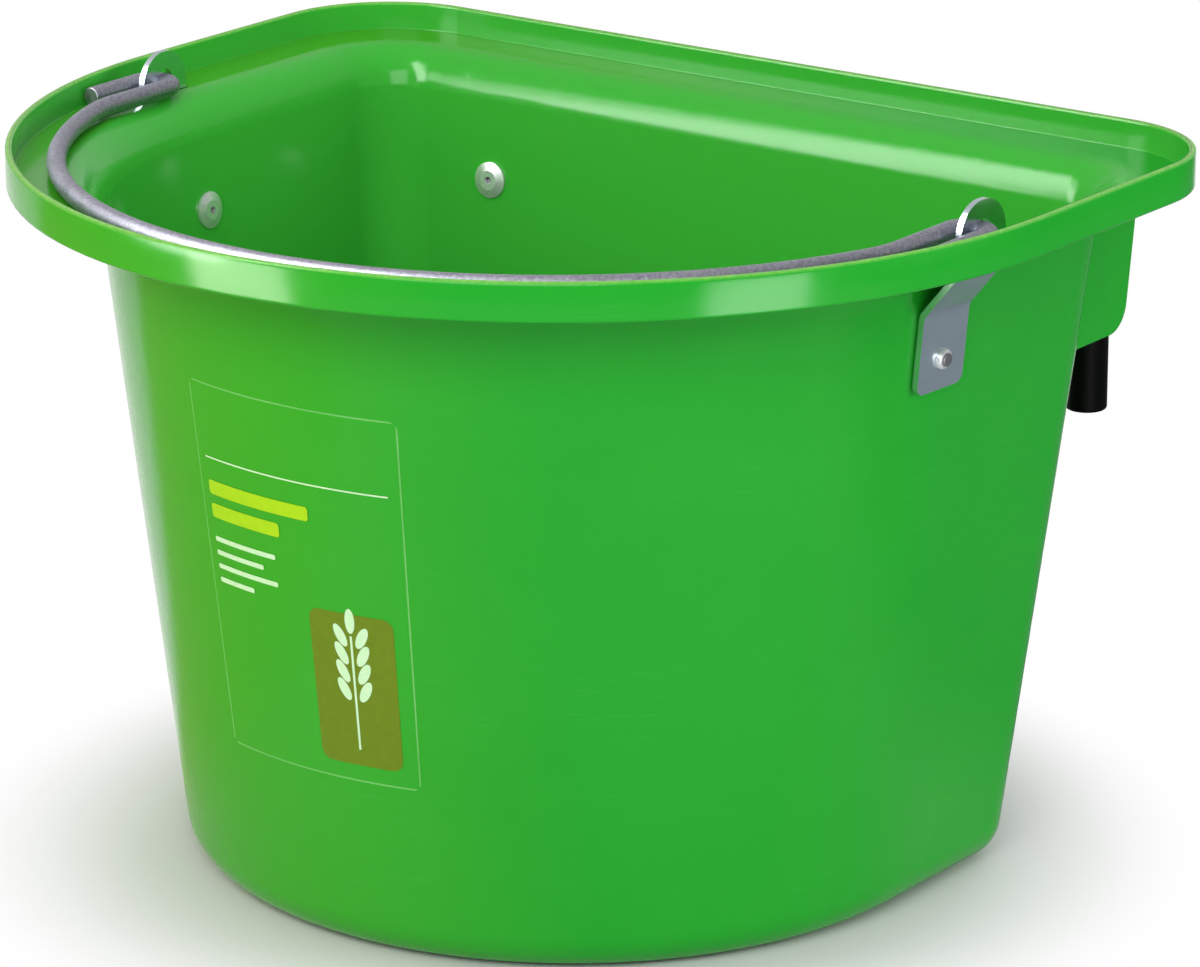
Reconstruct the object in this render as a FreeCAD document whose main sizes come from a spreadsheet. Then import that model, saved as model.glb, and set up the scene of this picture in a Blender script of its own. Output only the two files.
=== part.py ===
import FreeCAD, Part
import math
import os
import re

import Sketcher
from FreeCAD import Placement, Rotation, Vector

# A horse feed manger: a D-shaped plastic bucket with a flat back, a wire bail that swings in two
# steel ears, and two sleeved steel hooks behind the back that hang it on a board or a door.
# Millimetres. X runs across the flat back, the round front faces -Y, and Z is up from the floor.
# The origin lies on the floor under the centre of the round front.

SIZES = {
    # Bowl: plan at the floor, how far the wall leans out on its way up to the ledge, and how far the
    # floor sits back from under the rim, which makes the back wall steeper than the front
    "base_radius": 139.2,
    "base_back": 76.4,
    "base_corner": 21,
    "base_setback": 3.7,
    "wall_lean": 25.3,
    "shell_wall": 2.5,
    "floor_thick": 3,
    "base_round": 15,
    "lip_round": 16,
    # Rim: how far it stands out past the bowl, the upright band round it, the ledge sunk inside it
    "rim_height": 260,
    "rim_overhang": 30.5,
    "back_overhang": 28.3,
    "corner_growth": 24.8,
    "band_height": 13.6,
    "band_wall": 2.5,
    "band_flat": 0.5,
    "channel_depth": 10.3,
    # Stand-off ribs under the back of the rim
    "rib_margin": 41,
    "rib_thick": 3,
    "rib_inset": 1.2,
    "rib_drop": 60,
    "rib_taper": 9,
    "rib_round": 11,
    # Ears: flat steel straps riveted to the sides, with a tab that stands up through the ledge
    "ear_width": 25,
    "ear_thick": 2.2,
    "ear_setback": 10.5,
    "ear_leg": 28.2,
    "ear_rivet_rise": 11,
    "ear_bend_rise": 17,
    "ear_bend_clear": 4.5,
    "ear_bend_round": 4,
    "ear_hole_rise": 4.8,
    "ear_edge": 6.5,
    "ear_top_flat": 1,
    "ear_foot_round": 3.5,
    # Bail: one bent wire, its ends turned back through the ears
    "wire_radius": 3.4,
    "bail_bulge": 8,
    "bail_shoulder": 40,
    "bail_tail": 32,
    "bail_play": 0.4,
    "wire_end_round": 0.5,
    # Hanging hooks: round steel rod with one end beaten flat for the rivet
    "hook_side": 108.6,
    "hook_drop": 30,
    "hook_bend": 12,
    "rod_radius": 4,
    "palm_width": 22,
    "palm_thick": 4,
    "palm_below": 15,
    "palm_above": 8,
    "palm_neck": 8,
    "neck_width": 6,
    "palm_flat": 2,
    "bridge_drop": 12,
    "board_gap": 31.75,
    "finger_drop": 95,
    # Plastic sleeves over the hooks' fingers
    "sleeve_wall": 3.7,
    "sleeve_cap": 3,
    "sleeve_shy": 6,
    "sleeve_round": 1.2,
    # Blind rivets: a wide flange inside the bowl, a set tail outside, the broken mandrel in the bore
    "rivet_radius": 2.4,
    "rivet_bore": 1.4,
    "head_radius": 6.75,
    "head_rim": 0.9,
    "head_crown": 1.9,
    "crown_radius": 3.6,
    "crown_round": 1.2,
    "tail_radius": 3.6,
    "tail_length": 1.8,
    "tail_round": 1.1,
    "mandrel_sunk": 1.2,
    "mandrel_head_radius": 2.3,
    "mandrel_head_length": 0.7,
    "mandrel_round": 0.4,
    # Clearances
    "seat_clear": 0.15,
    "head_clear": 0.25,
    "rod_clear": 0.4,
    "slot_clear": 0.5,
    "hole_clear": 0.15,
    "fit_clear": 0.05,
    "pivot_clear": 0.8,
    "rest_clear": 0.7,
    "leg_clear": 3.7,
    "tail_clear": 1.5,
    "tail_room": 5.4,
    "overrun": 2,
}
TOLERANCE = 1e-4
UP = Vector(0, 0, 1)

doc = FreeCAD.newDocument("feed_manger")
sheet = doc.addObject("Spreadsheet::Sheet", "Sizes")
for row, (name, size) in enumerate(SIZES.items(), start=1):
    sheet.set(f"A{row}", name)
    sheet.set(f"B{row}", str(size))
    sheet.setAlias(f"B{row}", name)
doc.recompute()

# Heights and plan of the rim
BAND_LOW = "(rim_height - band_height)"
LEDGE_TOP = "(rim_height - channel_depth)"
LEDGE_LOW = f"({LEDGE_TOP} - shell_wall)"
RIM_RADIUS = "(base_radius + wall_lean + rim_overhang)"
RIM_BACK = "(base_back + wall_lean + back_overhang)"
RIM_CORNER = "(base_corner + corner_growth)"

# The wall's slope round the front and sides and at the back, and how much longer it is along the slope
# than straight up
SLOPE = f"(wall_lean / {LEDGE_LOW})"
SLANT = f"sqrt(1 + {SLOPE} * {SLOPE})"
BACK_SLOPE = f"((wall_lean - base_setback) / {LEDGE_LOW})"
BACK_SLANT = f"sqrt(1 + {BACK_SLOPE} * {BACK_SLOPE})"

# The ear's tab stands where the bail's tail still clears the band, and its bends follow the ledge
EAR_REACH = f"({RIM_RADIUS} - band_wall - tail_room - 2 * wire_radius - tail_clear - ear_thick / 2)"
EAR_BEND = f"({LEDGE_LOW} - ear_bend_clear - ear_bend_rise)"
EAR_FOOT = f"({EAR_BEND} - ear_leg)"
EAR_RIVET = f"({EAR_FOOT} + ear_rivet_rise)"
PIVOT_RADIUS = "(wire_radius + bail_play + pivot_clear)"
PIVOT_HEIGHT = f"({LEDGE_TOP} + ear_hole_rise)"
EAR_TOP = f"({PIVOT_HEIGHT} + {PIVOT_RADIUS} + ear_edge)"

# The bail's legs and tails run on either side of the tab
BAIL_LEG = f"({EAR_REACH} - ear_thick / 2 - leg_clear - wire_radius)"
BAIL_TAIL = f"({EAR_REACH} + ear_thick / 2 + tail_clear + wire_radius)"
BAIL_TURN = f"(({BAIL_TAIL} - {BAIL_LEG}) / 2)"
BAIL_RADIUS = f"({BAIL_LEG} + bail_bulge)"

# The hook's rod bridges the rim's overhang, and its finger leaves the board's room behind the rim
BRIDGE = f"({LEDGE_LOW} - bridge_drop)"
HOOK_RIVET = f"({BRIDGE} - hook_drop)"
SLEEVE_BORE = "(rod_radius + fit_clear)"
SLEEVE_RADIUS = f"({SLEEVE_BORE} + sleeve_wall)"
FINGER_REACH = f"({RIM_BACK} + board_gap + {SLEEVE_RADIUS})"
FINGER_END = f"({BRIDGE} - finger_drop)"
SLEEVE_LENGTH = "(finger_drop - hook_bend - sleeve_shy + sleeve_cap + fit_clear)"
RIVET_HOLE = "(rivet_radius + hole_clear)"


def linked(text):
    """Point each size named in a sum at its cell of the sheet."""
    return re.sub(r"[a-z]\w*", lambda word: f"Sizes.{word[0]}" if word[0] in SIZES else word[0], text)


def value(text):
    """The number that a sum of sizes comes to."""
    return float(sheet.evalExpression(linked(text)))


def lean(height):
    """How far the wall has leaned out at a height above the floor."""
    return f"{SLOPE} * ({height})"


def setback(height):
    """How far the wall's plan sits back at a height above the floor."""
    return f"base_setback * (1 - ({height}) / {LEDGE_LOW})"


# The angles of the sides and of the back, and how far round from the widest line the ears sit
LEAN_ANGLE = math.degrees(math.atan(value(SLOPE)))
BACK_ANGLE = math.degrees(math.atan(value(BACK_SLOPE)))
EAR_ANGLE = math.degrees(math.asin(value(f"ear_setback / {EAR_REACH}")))
EAR_BEARINGS = {"right": -EAR_ANGLE, "left": 180 + EAR_ANGLE}
SIDES = {"right": 1, "left": -1}


def wall_seat(bearing, spot, angle):
    """A seat on the wall's outer face: Z square out of the wall, X down the wall."""
    return Placement(spot, Rotation(UP, bearing) * Rotation(Vector(0, 1, 0), 90 + angle))


def ear_seat(bearing):
    """The ear's rivet seat on the round side wall."""
    turned = Rotation(UP, bearing).multVec(Vector(value(f"base_radius + {lean(EAR_RIVET)}"), 0, 0))
    return wall_seat(bearing, turned + UP * value(EAR_RIVET), LEAN_ANGLE)


def hook_seat(side):
    """The hook's rivet seat on the flat back wall, on one side or in the middle."""
    deep = value(f"base_back + {lean(HOOK_RIVET)} + {setback(HOOK_RIVET)}")
    return wall_seat(90, Vector(side * value("hook_side"), deep, value(HOOK_RIVET)), BACK_ANGLE)


def new_body(title):
    """An empty body under its own name."""
    body = doc.addObject("PartDesign::Body", title)
    body.Label = title
    return body


def plane(body, role):
    """One of the body's own planes."""
    return next(item for item in body.Origin.OriginFeatures if item.Role == role)


def sketch(body, title, role="XY_Plane", lift="0"):
    """A sketch on one of the body's own planes, moved along that plane's normal."""
    made = body.newObject("Sketcher::SketchObject", title)
    made.AttachmentSupport = [(plane(body, role), "")]
    made.MapMode = "FlatFace"
    made.setExpression("AttachmentOffset.Base.z", linked(lift))
    return made


def seated_sketch(body, title, seat):
    """A sketch on a seat that is turned or tilted with the wall."""
    made = body.newObject("Sketcher::SketchObject", title)
    made.AttachmentSupport = [(plane(body, "XY_Plane"), "")]
    made.MapMode = "FlatFace"
    made.AttachmentOffset = seat
    return made


def rule(made, *parts):
    """Add a constraint and give its number."""
    return made.addConstraint(Sketcher.Constraint(*parts))


def hold(made, measure, *parts):
    """Add a constraint whose value is bound to a sum of sizes."""
    number = rule(made, *parts, value(measure))
    made.setExpression(f"Constraints[{number}]", linked(measure))


def pin(made, item, point, across, up):
    """Hold a point of a sketch at two measures from the sketch's origin."""
    hold(made, across, "DistanceX", -1, 1, item, point)
    hold(made, up, "DistanceY", -1, 1, item, point)


def line(made, start, end):
    """A straight line of a sketch."""
    return made.addGeometry(Part.LineSegment(start, end))


def arc(made, centre, radius, start, end):
    """An arc of a sketch from one angle to another, counter-clockwise, in half turns."""
    return made.addGeometry(Part.ArcOfCircle(Part.Circle(centre, UP, radius), start * math.pi, end * math.pi))


def circle(made, radius, across="0", up="0"):
    """A circle held by its radius and its centre."""
    item = made.addGeometry(Part.Circle(Vector(value(across), value(up), 0), UP, value(radius)))
    hold(made, radius, "Radius", item)
    pin(made, item, 3, across, up)


def outline(made, points):
    """A closed outline of straight lines through points given as pairs of measures."""
    spots = [Vector(value(across), value(up), 0) for across, up in points]
    lines = [line(made, spots[at - 1], spots[at]) for at in range(len(spots))]
    for at, (across, up) in enumerate(points):
        rule(made, "Coincident", lines[at], 2, lines[(at + 1) % len(lines)], 1)
        pin(made, lines[at], 2, across, up)


def strap(made, points, thick):
    """The edge view of a bent strap: a run of points, and the strap's thickness on their outer side."""
    spots = [Vector(value(across), value(up), 0) for across, up in points]
    runs = [(end - start).normalize() for start, end in zip(spots, spots[1:])]
    sides = [Vector(run.y, -run.x, 0) for run in runs]
    corners = [spots[0] + sides[0] * value(thick)]
    for spot, before, after in zip(spots[1:], sides, sides[1:]):
        corners.append(spot + (before + after) * (value(thick) / (1 + before.dot(after))))
    corners.append(spots[-1] + sides[-1] * value(thick))
    inner = [line(made, *pair) for pair in zip(spots, spots[1:])]
    outer = [line(made, *pair) for pair in zip(corners, corners[1:])]
    for item, (across, up) in zip(inner, points):
        pin(made, item, 1, across, up)
    pin(made, inner[-1], 2, *points[-1])
    for near, far in zip(inner, outer):
        rule(made, "Parallel", near, far)
        hold(made, thick, "Distance", far, 1, near)
    for chain in (inner, outer):
        for before, after in zip(chain, chain[1:]):
            rule(made, "Coincident", before, 2, after, 1)
    for at, point in ((0, 1), (-1, 2)):
        cap = line(made, spots[at], corners[at])
        rule(made, "Coincident", cap, 1, inner[at], point)
        rule(made, "Coincident", cap, 2, outer[at], point)
        rule(made, "Perpendicular", cap, inner[at])


def plan(made, radius, back, corner):
    """The manger's plan: a half circle in front, straight sides and a flat back with round corners."""
    wide, deep, turn = value(radius), value(back), value(corner)
    inner, start = wide - turn, deep - turn
    front = arc(made, Vector(0, 0, 0), wide, 1, 2)
    right = line(made, Vector(wide, 0, 0), Vector(wide, start, 0))
    right_corner = arc(made, Vector(inner, start, 0), turn, 0, 0.5)
    rear = line(made, Vector(inner, deep, 0), Vector(-inner, deep, 0))
    left_corner = arc(made, Vector(-inner, start, 0), turn, 0.5, 1)
    left = line(made, Vector(-wide, start, 0), Vector(-wide, 0, 0))
    loop = [front, right, right_corner, rear, left_corner, left]
    for at, item in enumerate(loop):
        rule(made, "Tangent", loop[at - 1], 2, item, 1)
    rule(made, "Coincident", front, 3, -1, 1)
    rule(made, "PointOnObject", front, 1, -1)
    rule(made, "PointOnObject", front, 2, -1)
    rule(made, "Horizontal", rear)
    rule(made, "Equal", right_corner, left_corner)
    hold(made, radius, "Radius", front)
    hold(made, corner, "Radius", right_corner)
    hold(made, back, "DistanceY", -1, 1, rear, 1)


def bowl_plan(body, title, height, inset):
    """The leaning wall's plan at a height, a measure in from its outer face."""
    made = sketch(body, title, lift=height)
    made.setExpression("AttachmentOffset.Base.y", linked(setback(height)))
    grown = f"{lean(height)} - ({inset})"
    plan(made, f"base_radius + {grown}", f"base_back + {grown}", f"base_corner - ({inset})")
    return made


def rim_plan(made, inset):
    """The rim's plan, a measure in from its outer face."""
    plan(made, f"{RIM_RADIUS} - {inset}", f"{RIM_BACK} - {inset}", f"{RIM_CORNER} - {inset}")


def feature(body, kind, title, profile, **sizes):
    """A feature on a sketch, with its sizes bound to the sheet."""
    made = body.newObject(f"PartDesign::{kind}", title)
    made.Profile = profile
    for size, measure in sizes.items():
        made.setExpression(size, linked(measure))
    return made


def loft(body, kind, title, low, high):
    """A straight-sided loft from one sketch to the next."""
    made = feature(body, kind, title, low)
    made.Sections = [high]
    made.Ruled = True


def through(body, kind, title, profile, length):
    """A pad or a pocket that runs both ways from its sketch."""
    made = feature(body, kind, title, profile, Length=length)
    made.SideType = "Symmetric"


def pipe(body, title, section, path):
    """A round bar along a path."""
    made = feature(body, "AdditivePipe", title, section)
    made.Spine = (path, [])


def turned(body, title, points):
    """A turned solid about the body's own Z, from an outline of radii and heights."""
    profile = sketch(body, f"{title}_profile", "XZ_Plane")
    outline(profile, points)
    made = feature(body, "Revolution", title, profile)
    made.ReferenceAxis = (profile, ["V_Axis"])


def fillet(body, title, radius, chosen):
    """Round those edges of the body so far that a test picks out."""
    doc.recompute()
    base = body.Tip
    names = [f"Edge{at}" for at, edge in enumerate(base.Shape.Edges, start=1) if chosen(edge)]
    made = body.newObject("PartDesign::Fillet", title)
    made.Base = (base, names)
    made.setExpression("Radius", linked(radius))


def level(edge, height):
    """Whether an edge lies flat at a height."""
    box = edge.BoundBox
    return box.ZLength < TOLERANCE and abs(box.ZMin - value(height)) < TOLERANCE


def within(edge, half_width, back):
    """Whether an edge stays inside a plan of that half width and back."""
    box = edge.BoundBox
    return max(box.XMax, -box.XMin) < value(half_width) + TOLERANCE and box.YMax < value(back) + TOLERANCE


def round_edge(edge, radius, height):
    """Whether an edge is a circle round Z of that radius at that height."""
    return level(edge, height) and abs(edge.BoundBox.XMax - value(radius)) < TOLERANCE


def bucket_shell():
    """The moulded bucket: leaning bowl, ledge, upright band and two stand-off ribs."""
    body = new_body("bucket_shell")
    loft(body, "AdditiveLoft", "outer_wall",
         bowl_plan(body, "foot_plan", "0", "0"), bowl_plan(body, "head_plan", LEDGE_LOW, "0"))
    ledge_plan = sketch(body, "ledge_plan", lift=LEDGE_LOW)
    rim_plan(ledge_plan, "band_wall / 2")
    feature(body, "Pad", "ledge", ledge_plan, Length="shell_wall")
    band_plan = sketch(body, "band_plan", lift=BAND_LOW)
    rim_plan(band_plan, "0")
    rim_plan(band_plan, "band_wall")
    feature(body, "Pad", "band", band_plan, Length="band_height")
    head = "base_radius + wall_lean", "base_back + wall_lean"
    face = f"{RIM_RADIUS} - band_wall", f"{RIM_BACK} - band_wall"
    band_round = "(band_wall - band_flat) / 2"
    fillet(body, "under_lip_round", "lip_round + shell_wall",
           lambda edge: level(edge, LEDGE_LOW) and within(edge, *head))
    fillet(body, "band_low_round", band_round,
           lambda edge: level(edge, BAND_LOW) and not within(edge, *face))

    rib_plan = sketch(body, "rib_plan", "YZ_Plane", f"{RIM_RADIUS} - rib_margin - rib_thick")
    rib_back = f"({RIM_BACK} - rib_inset)"
    rib_low = f"({BAND_LOW} - rib_drop)"
    outline(rib_plan, [("base_back", LEDGE_LOW), (rib_back, LEDGE_LOW), (rib_back, BAND_LOW),
                       (f"{rib_back} - rib_taper", rib_low), ("base_back", rib_low)])
    rib = feature(body, "Pad", "rib", rib_plan, Length="rib_thick")
    ribs = body.newObject("PartDesign::Mirrored", "ribs")
    ribs.Originals = [rib]
    ribs.MirrorPlane = (plane(body, "YZ_Plane"), [""])
    body.Tip = ribs
    fillet(body, "rib_corner_round", "rib_round",
           lambda edge: level(edge, rib_low) and edge.BoundBox.YLength < TOLERANCE
           and edge.BoundBox.YMin > value(f"{rib_back} - rib_taper") - TOLERANCE)

    loft(body, "SubtractiveLoft", "hollow", bowl_plan(body, "floor_plan", "floor_thick", "shell_wall"),
         bowl_plan(body, "mouth_plan", f"{LEDGE_TOP} + overrun", "shell_wall"))
    fillet(body, "lip_edge_round", "lip_round", lambda edge: level(edge, LEDGE_TOP) and within(edge, *head))
    fillet(body, "floor_edge_round", "base_round - shell_wall", lambda edge: level(edge, "floor_thick"))
    fillet(body, "base_edge_round", "base_round", lambda edge: level(edge, "0"))
    fillet(body, "band_top_round", band_round, lambda edge: level(edge, "rim_height"))

    near, far = f"{EAR_REACH} - ear_thick / 2 - slot_clear", f"{EAR_REACH} + ear_thick / 2 + slot_clear"
    half = "(ear_width / 2 + slot_clear)"
    for side, bearing in EAR_BEARINGS.items():
        slot_plan = seated_sketch(body, f"{side}_slot_plan",
                                  Placement(Vector(0, 0, value(LEDGE_TOP)), Rotation(UP, bearing)))
        outline(slot_plan, [(near, f"-{half}"), (far, f"-{half}"), (far, half), (near, half)])
        through(body, "Pocket", f"{side}_slot", slot_plan, "2 * (shell_wall + ear_bend_clear)")
        ear_hole = seated_sketch(body, f"{side}_ear_hole_plan", ear_seat(bearing))
        circle(ear_hole, RIVET_HOLE)
        through(body, "Pocket", f"{side}_ear_hole", ear_hole, "2 * (shell_wall + overrun)")
        hook_hole = seated_sketch(body, f"{side}_hook_hole_plan", hook_seat(SIDES[side]))
        circle(hook_hole, RIVET_HOLE)
        through(body, "Pocket", f"{side}_hook_hole", hook_hole, "2 * (shell_wall + overrun)")
    return body


def handle_ear(side):
    """A strap along the side wall, jogged outwards to stand up through the ledge's slot."""
    body = new_body(f"{side}_handle_ear")
    foot = f"base_radius + {lean(EAR_FOOT)} + seat_clear"
    bend = f"base_radius + {lean(EAR_BEND)} + seat_clear"
    tab = f"{EAR_REACH} - ear_thick / 2"
    edge_view = sketch(body, "strap_edge", "XZ_Plane")
    strap(edge_view, [(foot, EAR_FOOT), (bend, EAR_BEND), (tab, f"{EAR_BEND} + ear_bend_rise"),
                      (tab, EAR_TOP)], "ear_thick")
    through(body, "Pad", "strap", edge_view, "ear_width")
    fillet(body, "bend_round", "ear_bend_round",
           lambda edge: edge.BoundBox.YLength > value("ear_width") - TOLERANCE
           and value(f"{EAR_FOOT} + ear_thick") < edge.BoundBox.ZMin < value(f"{EAR_TOP} - ear_thick"))
    fillet(body, "top_round", "(ear_width - ear_top_flat) / 2",
           lambda edge: level(edge, EAR_TOP) and edge.BoundBox.YLength < TOLERANCE)
    fillet(body, "foot_round", "ear_foot_round",
           lambda edge: edge.BoundBox.YLength < TOLERANCE and edge.BoundBox.ZMax < value(EAR_FOOT) + TOLERANCE)
    pivot_plan = sketch(body, "pivot_plan", "YZ_Plane", EAR_REACH)
    circle(pivot_plan, PIVOT_RADIUS, "0", PIVOT_HEIGHT)
    through(body, "Pocket", "pivot_hole", pivot_plan, "ear_thick + overrun")
    rivet_plan = seated_sketch(body, "rivet_plan", ear_seat(0))
    circle(rivet_plan, RIVET_HOLE)
    through(body, "Pocket", "rivet_hole", rivet_plan, "2 * (ear_thick + overrun)")
    body.Placement = Placement(Vector(0, 0, 0), Rotation(UP, EAR_BEARINGS[side]))
    return body


def bail_handle():
    """The wire bail, folded forward on the ledge, a little askew by its play in the ears."""
    body = new_body("bail_handle")
    path = sketch(body, "wire_path")
    radius, shoulder, turn = value(BAIL_RADIUS), value("bail_shoulder"), value(BAIL_TURN)
    ear_back, tail_end = value("ear_setback"), value("-bail_tail")
    across = value(f"{BAIL_LEG} - bail_shoulder")
    low = ear_back - math.sqrt((radius - shoulder) ** 2 - across ** 2)
    sink = math.atan2(low - ear_back, across) / math.pi
    bow = arc(path, Vector(0, ear_back, 0), radius, 1 - sink, 2 + sink)
    pin(path, bow, 3, "0", "ear_setback")
    hold(path, BAIL_RADIUS, "Radius", bow)
    for sign, first, second in ((1, 1, 2), (-1, 2, 1)):
        leg_place, tail_place = sign * value(BAIL_LEG), sign * value(BAIL_TAIL)
        swing = (sink, 0) if sign > 0 else (1, 1 - sink)
        tail = line(path, Vector(tail_place, tail_end, 0), Vector(tail_place, -turn, 0))
        eye = arc(path, Vector((leg_place + tail_place) / 2, -turn, 0), turn, 0, 1)
        leg = line(path, Vector(leg_place, -turn, 0), Vector(leg_place, low, 0))
        bend = arc(path, Vector(sign * across, low, 0), shoulder, *swing)
        rule(path, "Tangent", tail, 2, eye, first)
        rule(path, "Tangent", eye, second, leg, 1)
        rule(path, "Tangent", leg, 2, bend, second)
        rule(path, "Tangent", bend, first, bow, second)
        rule(path, "Vertical", tail)
        rule(path, "Vertical", leg)
        hold(path, f"{sign} * {BAIL_LEG}", "DistanceX", -1, 1, leg, 1)
        hold(path, f"-{BAIL_TURN}", "DistanceY", -1, 1, eye, 3)
        hold(path, BAIL_TURN, "Radius", eye)
        hold(path, "bail_shoulder", "Radius", bend)
        hold(path, "-bail_tail", "DistanceY", -1, 1, tail, 1)
    section = sketch(body, "wire_section", "XZ_Plane", "bail_tail")
    circle(section, "wire_radius", BAIL_TAIL)
    pipe(body, "wire", section, path)
    fillet(body, "end_round", "wire_end_round",
           lambda edge: edge.BoundBox.YLength < TOLERANCE and edge.BoundBox.YMin < tail_end + TOLERANCE)
    skew = math.degrees(math.asin(value(f"bail_play / {EAR_REACH}")))
    reach = f"({BAIL_RADIUS} - ear_setback)"
    droop = math.degrees(math.asin(value(f"(ear_hole_rise - wire_radius - rest_clear) / {reach}")))
    body.Placement = Placement(Vector(0, -ear_back, value(PIVOT_HEIGHT)),
                               Rotation(Vector(0, 1, 0), -skew) * Rotation(Vector(1, 0, 0), droop))
    return body


def hook_rod(side):
    """A hanging hook: a flat palm on the back wall, a bridge past the rim and a finger hanging down."""
    body = new_body(f"{side}_hook_rod")
    palm_seat = hook_seat(0) * Placement(Vector(0, 0, value("seat_clear")), Rotation())
    palm_plan = seated_sketch(body, "palm_plan", palm_seat)
    half, neck, neck_top = "palm_width / 2", "neck_width / 2", "-(palm_above + palm_neck)"
    outline(palm_plan, [("palm_below", f"-{half}"), ("palm_below", half), ("-palm_above", half),
                        (neck_top, neck), (neck_top, f"-{neck}"), ("-palm_above", f"-{half}")])
    feature(body, "Pad", "palm", palm_plan, Length="palm_thick")
    fillet(body, "palm_round", f"{half} - palm_flat",
           lambda edge: edge.BoundBox.XLength < TOLERANCE and edge.Length < value("palm_thick") + TOLERANCE
           and edge.BoundBox.ZMax < value(HOOK_RIVET))

    def rod_line(height):
        """Where the rod's middle line runs along the back wall."""
        return f"base_back + {lean(height)} + {setback(height)} + (rod_clear + rod_radius) * {BACK_SLANT}"

    start = f"({HOOK_RIVET} + palm_above)"
    bend, bridge, reach = value("hook_bend"), value(BRIDGE), value(FINGER_REACH)
    first = Vector(value(f"{rod_line(f'({BRIDGE} - hook_bend)')} + hook_bend * {BACK_SLANT}"), bridge - bend, 0)
    second = Vector(reach - bend, bridge - bend, 0)
    foot = Vector(value(rod_line(start)), value(start), 0)
    crossing = Vector(value(rod_line(BRIDGE)), bridge, 0)
    along = (crossing - foot).normalize()
    path = sketch(body, "rod_path", "YZ_Plane")
    guide = path.addGeometry(Part.Point(crossing), True)
    rise = line(path, foot, first + Vector(-along.y, along.x, 0) * bend)
    first_bend = arc(path, first, bend, 0.5, 1 - BACK_ANGLE / 180)
    over = line(path, first + Vector(0, bend, 0), second + Vector(0, bend, 0))
    second_bend = arc(path, second, bend, 0, 0.5)
    finger = line(path, second + Vector(bend, 0, 0), Vector(reach, value(FINGER_END), 0))
    rule(path, "Tangent", rise, 2, first_bend, 2)
    rule(path, "Tangent", first_bend, 1, over, 1)
    rule(path, "Tangent", over, 2, second_bend, 2)
    rule(path, "Tangent", second_bend, 1, finger, 1)
    rule(path, "PointOnObject", guide, 1, rise)
    rule(path, "Horizontal", over)
    rule(path, "Vertical", finger)
    pin(path, guide, 1, rod_line(BRIDGE), BRIDGE)
    pin(path, rise, 1, rod_line(start), start)
    hold(path, BRIDGE, "DistanceY", -1, 1, over, 1)
    hold(path, "hook_bend", "Radius", first_bend)
    hold(path, "hook_bend", "Radius", second_bend)
    pin(path, finger, 2, FINGER_REACH, FINGER_END)
    rod_seat = Placement(Vector(0, foot.x, foot.y), Rotation(Vector(1, 0, 0), -BACK_ANGLE))
    section = seated_sketch(body, "rod_section", rod_seat)
    circle(section, "rod_radius")
    pipe(body, "rod", section, path)
    rivet_plan = seated_sketch(body, "rivet_plan", hook_seat(0))
    circle(rivet_plan, RIVET_HOLE)
    through(body, "Pocket", "rivet_hole", rivet_plan, "2 * (palm_thick + overrun)")
    body.Placement = Placement(Vector(SIDES[side] * value("hook_side"), 0, 0), Rotation())
    return body


def hook_sleeve(side):
    """The closed sleeve on a hook's finger."""
    body = new_body(f"{side}_hook_sleeve")
    outer = sketch(body, "outer_plan")
    circle(outer, SLEEVE_RADIUS)
    feature(body, "Pad", "tube", outer, Length=SLEEVE_LENGTH)
    inner = sketch(body, "bore_plan", lift="sleeve_cap")
    circle(inner, SLEEVE_BORE)
    bore = feature(body, "Pocket", "bore", inner, Length=SLEEVE_LENGTH)
    bore.Reversed = True
    fillet(body, "end_round", "sleeve_round",
           lambda edge: round_edge(edge, SLEEVE_RADIUS, "0") or round_edge(edge, SLEEVE_RADIUS, SLEEVE_LENGTH))
    body.Placement = Placement(Vector(SIDES[side] * value("hook_side"), value(FINGER_REACH),
                                      value(f"{FINGER_END} - fit_clear - sleeve_cap")), Rotation())
    return body


def rivet(title, grip, seat):
    """A blind rivet: its flange on the wall's inner face, its set tail on the steel outside."""
    head = f"-(shell_wall / {SLANT} + head_clear)"
    tail = f"(seat_clear + {grip} + fit_clear)"
    crown = f"({head} - head_crown)"
    end = f"({tail} + tail_length)"
    sleeve = new_body(f"{title}_rivet")
    turned(sleeve, "hollow_rivet", [
        ("rivet_bore", crown), ("crown_radius", crown), ("head_radius", f"{head} - head_rim"),
        ("head_radius", head), ("rivet_radius", head), ("rivet_radius", tail), ("tail_radius", tail),
        ("tail_radius", end), ("rivet_bore", end)])
    fillet(sleeve, "crown_edge", "crown_round", lambda edge: round_edge(edge, "crown_radius", crown))
    fillet(sleeve, "tail_edge", "tail_round", lambda edge: round_edge(edge, "tail_radius", end))
    stem, sunk, seated = "rivet_bore - fit_clear", f"{crown} + mandrel_sunk", f"{end} + fit_clear"
    top = f"{seated} + mandrel_head_length"
    mandrel = new_body(f"{title}_mandrel")
    turned(mandrel, "stem", [
        ("0", sunk), (stem, sunk), (stem, seated), ("mandrel_head_radius", seated),
        ("mandrel_head_radius", top), ("0", top)])
    fillet(mandrel, "head_edge", "mandrel_round", lambda edge: round_edge(edge, "mandrel_head_radius", top))
    sleeve.Placement = seat
    mandrel.Placement = seat
    return [sleeve, mandrel]


parts = [bucket_shell(), bail_handle()]
for side, sign in SIDES.items():
    parts += [handle_ear(side), hook_rod(side), hook_sleeve(side)]
    parts += rivet(f"{side}_ear", "ear_thick", ear_seat(EAR_BEARINGS[side]))
    parts += rivet(f"{side}_hook", "palm_thick", hook_seat(sign))
doc.recompute()

failed = [item.Name for item in doc.Objects if "Invalid" in item.State or "Error" in item.State]
if failed:
    raise RuntimeError(f"Not built: {failed}")
broken = [part.Label for part in parts if part.Shape.isNull() or not part.Shape.isValid()]
if broken:
    raise RuntimeError(f"Not a valid solid: {broken}")

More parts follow.
